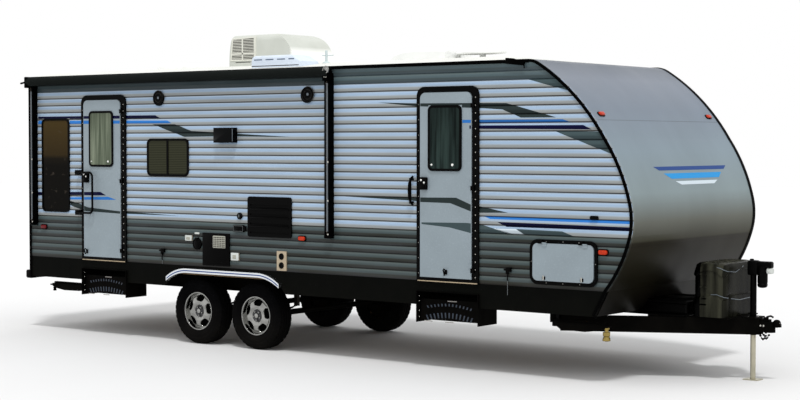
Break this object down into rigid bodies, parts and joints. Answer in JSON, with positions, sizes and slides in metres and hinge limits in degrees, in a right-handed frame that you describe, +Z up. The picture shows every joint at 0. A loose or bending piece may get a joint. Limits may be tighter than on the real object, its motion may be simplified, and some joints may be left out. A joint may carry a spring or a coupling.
{
  "type": "travel trailer",
  "caption": "Towed living van with ribbed metal siding, a curved nose, two hinged entry doors with folding steps, baggage doors, an awning, and a jack on the tongue",
  "frame": {"origin": "on the ground, under the middle of the whole length and width", "axes": "+X forward to the coupler, +Y to the side without entry doors, +Z up"},
  "size_m": [9.11, 2.6159, 3.41],
  "materials": {
    "siding": "semi-gloss ribbed sheet",
    "nose_skin": "gloss",
    "roof_membrane": "matte sheet",
    "floor_board": "bare board",
    "skirt_metal": "satin",
    "fender_metal": "polished",
    "edge_moulding": "satin",
    "black_steel": "satin",
    "jack_black": "satin",
    "gas_bottle": "semi-gloss",
    "gas_cover_black": "satin",
    "axle_steel": "satin",
    "spring_steel": "dull",
    "frame_black": "satin",
    "dark_glass": "dark tinted",
    "step_black": "satin",
    "awning_metal": "semi-gloss",
    "awning_fabric": "woven",
    "vent_black": "semi-gloss",
    "inlet_tan": "semi-gloss",
    "fitting_black": "satin",
    "amber_lens": "clear lens",
    "red_lens": "clear lens",
    "cooler_shell": "moulded",
    "vent_white": "moulded",
    "tyre_rubber": "matte",
    "wheel_bright": "polished",
    "door_skin": "semi-gloss",
    "bright_steel": "zinc plated"
  },
  "bodies": {
    "shell": {"side_wall_door_side": "siding", "side_wall_off_side": "siding", "front_wall": "nose_skin", "rear_wall": "siding", "roof": "roof_membrane", "floor": "floor_board", "skirts": "skirt_metal", "fender_trims": "fender_metal", "edge_trims": "edge_moulding", "chassis_frame": "black_steel", "tongue_frame": "black_steel", "bumper": "black_steel", "coupler": "black_steel", "jack_housing": "jack_black", "gas_bottles": "gas_bottle", "gas_cover": "gas_cover_black", "axles": "axle_steel", "leaf_springs": "spring_steel", "door_frames": "frame_black", "window_frames": "frame_black", "window_glass": "dark_glass", "step_wells": "step_black", "awning_arms": "awning_metal", "awning_roller": "awning_fabric", "service_vents": "vent_black", "service_inlets": "inlet_tan", "wall_fittings": "fitting_black", "amber_markers": "amber_lens", "red_lamps": "red_lens", "air_conditioner": "cooler_shell", "roof_vents": "vent_white"},
    "wheel_set_rear_near": {"tyre_rear_near": "tyre_rubber", "wheel_rear_near": "wheel_bright"},
    "wheel_set_front_near": {"tyre_front_near": "tyre_rubber", "wheel_front_near": "wheel_bright"},
    "wheel_set_rear_far": {"tyre_rear_far": "tyre_rubber", "wheel_rear_far": "wheel_bright"},
    "wheel_set_front_far": {"tyre_front_far": "tyre_rubber", "wheel_front_far": "wheel_bright"},
    "front_door": {"front_door_leaf": "door_skin", "front_door_trim": "fitting_black", "front_door_glass": "dark_glass"},
    "rear_door": {"rear_door_leaf": "door_skin", "rear_door_trim": "fitting_black", "rear_door_glass": "dark_glass"},
    "baggage_near": {"baggage_door_near": "door_skin"},
    "baggage_far": {"baggage_door_far": "door_skin"},
    "jack_foot": {"jack_leg": "bright_steel"},
    "stabilizer_rear_near": {"stabilizer_leg_rear_near": "black_steel"},
    "stabilizer_rear_far": {"stabilizer_leg_rear_far": "black_steel"},
    "stabilizer_front_near": {"stabilizer_leg_front_near": "black_steel"},
    "stabilizer_front_far": {"stabilizer_leg_front_far": "black_steel"},
    "front_step_upper": {"front_step_upper_tread": "step_black"},
    "front_step_lower": {"front_step_lower_tread": "step_black"},
    "rear_step_upper": {"rear_step_upper_tread": "step_black"},
    "rear_step_lower": {"rear_step_lower_tread": "step_black"}
  },
  "joints": [
    {"name": "wheel_spin_rear_near", "type": "hinge", "parent": "shell", "child": "wheel_set_rear_near", "pos_m": [-1.761, -1.0475, 0.358], "axis": [0, 1, 0], "continuous": true},
    {"name": "wheel_spin_front_near", "type": "hinge", "parent": "shell", "child": "wheel_set_front_near", "pos_m": [-0.909, -1.0475, 0.358], "axis": [0, 1, 0], "continuous": true},
    {"name": "wheel_spin_rear_far", "type": "hinge", "parent": "shell", "child": "wheel_set_rear_far", "pos_m": [-1.761, 1.0475, 0.358], "axis": [0, 1, 0], "continuous": true},
    {"name": "wheel_spin_front_far", "type": "hinge", "parent": "shell", "child": "wheel_set_front_far", "pos_m": [-0.909, 1.0475, 0.358], "axis": [0, 1, 0], "continuous": true},
    {"name": "front_door_hinge", "type": "hinge", "parent": "shell", "child": "front_door", "pos_m": [1.9625, -1.251, 1.8], "axis": [0, 0, 1], "range_deg": [0, 165]},
    {"name": "rear_door_hinge", "type": "hinge", "parent": "shell", "child": "rear_door", "pos_m": [-2.8675, -1.251, 1.8], "axis": [0, 0, 1], "range_deg": [0, 165]},
    {"name": "baggage_hinge_near", "type": "hinge", "parent": "shell", "child": "baggage_near", "pos_m": [2.9805, -1.251, 1.2735], "axis": [-1, 0, 0], "range_deg": [0, 165]},
    {"name": "baggage_hinge_far", "type": "hinge", "parent": "shell", "child": "baggage_far", "pos_m": [2.9805, 1.251, 1.2735], "axis": [1, 0, 0], "range_deg": [0, 165]},
    {"name": "jack_slide", "type": "slide", "parent": "shell", "child": "jack_foot", "axis": [0, 0, 1], "range_m": [0, 0.34]},
    {"name": "stabilizer_hinge_rear_near", "type": "hinge", "parent": "shell", "child": "stabilizer_rear_near", "pos_m": [-3.66, -1.03, 0.54], "axis": [0, -1, 0], "range_deg": [0, 58]},
    {"name": "stabilizer_hinge_rear_far", "type": "hinge", "parent": "shell", "child": "stabilizer_rear_far", "pos_m": [-3.66, 1.03, 0.54], "axis": [0, -1, 0], "range_deg": [0, 58]},
    {"name": "stabilizer_hinge_front_near", "type": "hinge", "parent": "shell", "child": "stabilizer_front_near", "pos_m": [2.745, -1.03, 0.54], "axis": [0, 1, 0], "range_deg": [0, 58]},
    {"name": "stabilizer_hinge_front_far", "type": "hinge", "parent": "shell", "child": "stabilizer_front_far", "pos_m": [2.745, 1.03, 0.54], "axis": [0, 1, 0], "range_deg": [0, 58]},
    {"name": "front_step_upper_fold", "type": "hinge", "parent": "shell", "child": "front_step_upper", "pos_m": [1.672, -1.198, 0.712], "axis": [-1, 0, 0], "range_deg": [0, 90]},
    {"name": "front_step_lower_fold", "type": "hinge", "parent": "front_step_upper", "child": "front_step_lower", "pos_m": [1.672, -1.008, 0.4685], "axis": [1, 0, 0], "range_deg": [0, 180]},
    {"name": "rear_step_upper_fold", "type": "hinge", "parent": "shell", "child": "rear_step_upper", "pos_m": [-3.158, -1.198, 0.712], "axis": [-1, 0, 0], "range_deg": [0, 90]},
    {"name": "rear_step_lower_fold", "type": "hinge", "parent": "rear_step_upper", "child": "rear_step_lower", "pos_m": [-3.158, -1.008, 0.4685], "axis": [1, 0, 0], "range_deg": [0, 180]}
  ],
  "couplings": [
    {"joint": "front_step_lower_fold", "follows": "front_step_upper_fold", "ratio": 2},
    {"joint": "rear_step_lower_fold", "follows": "rear_step_upper_fold", "ratio": 2}
  ]
}
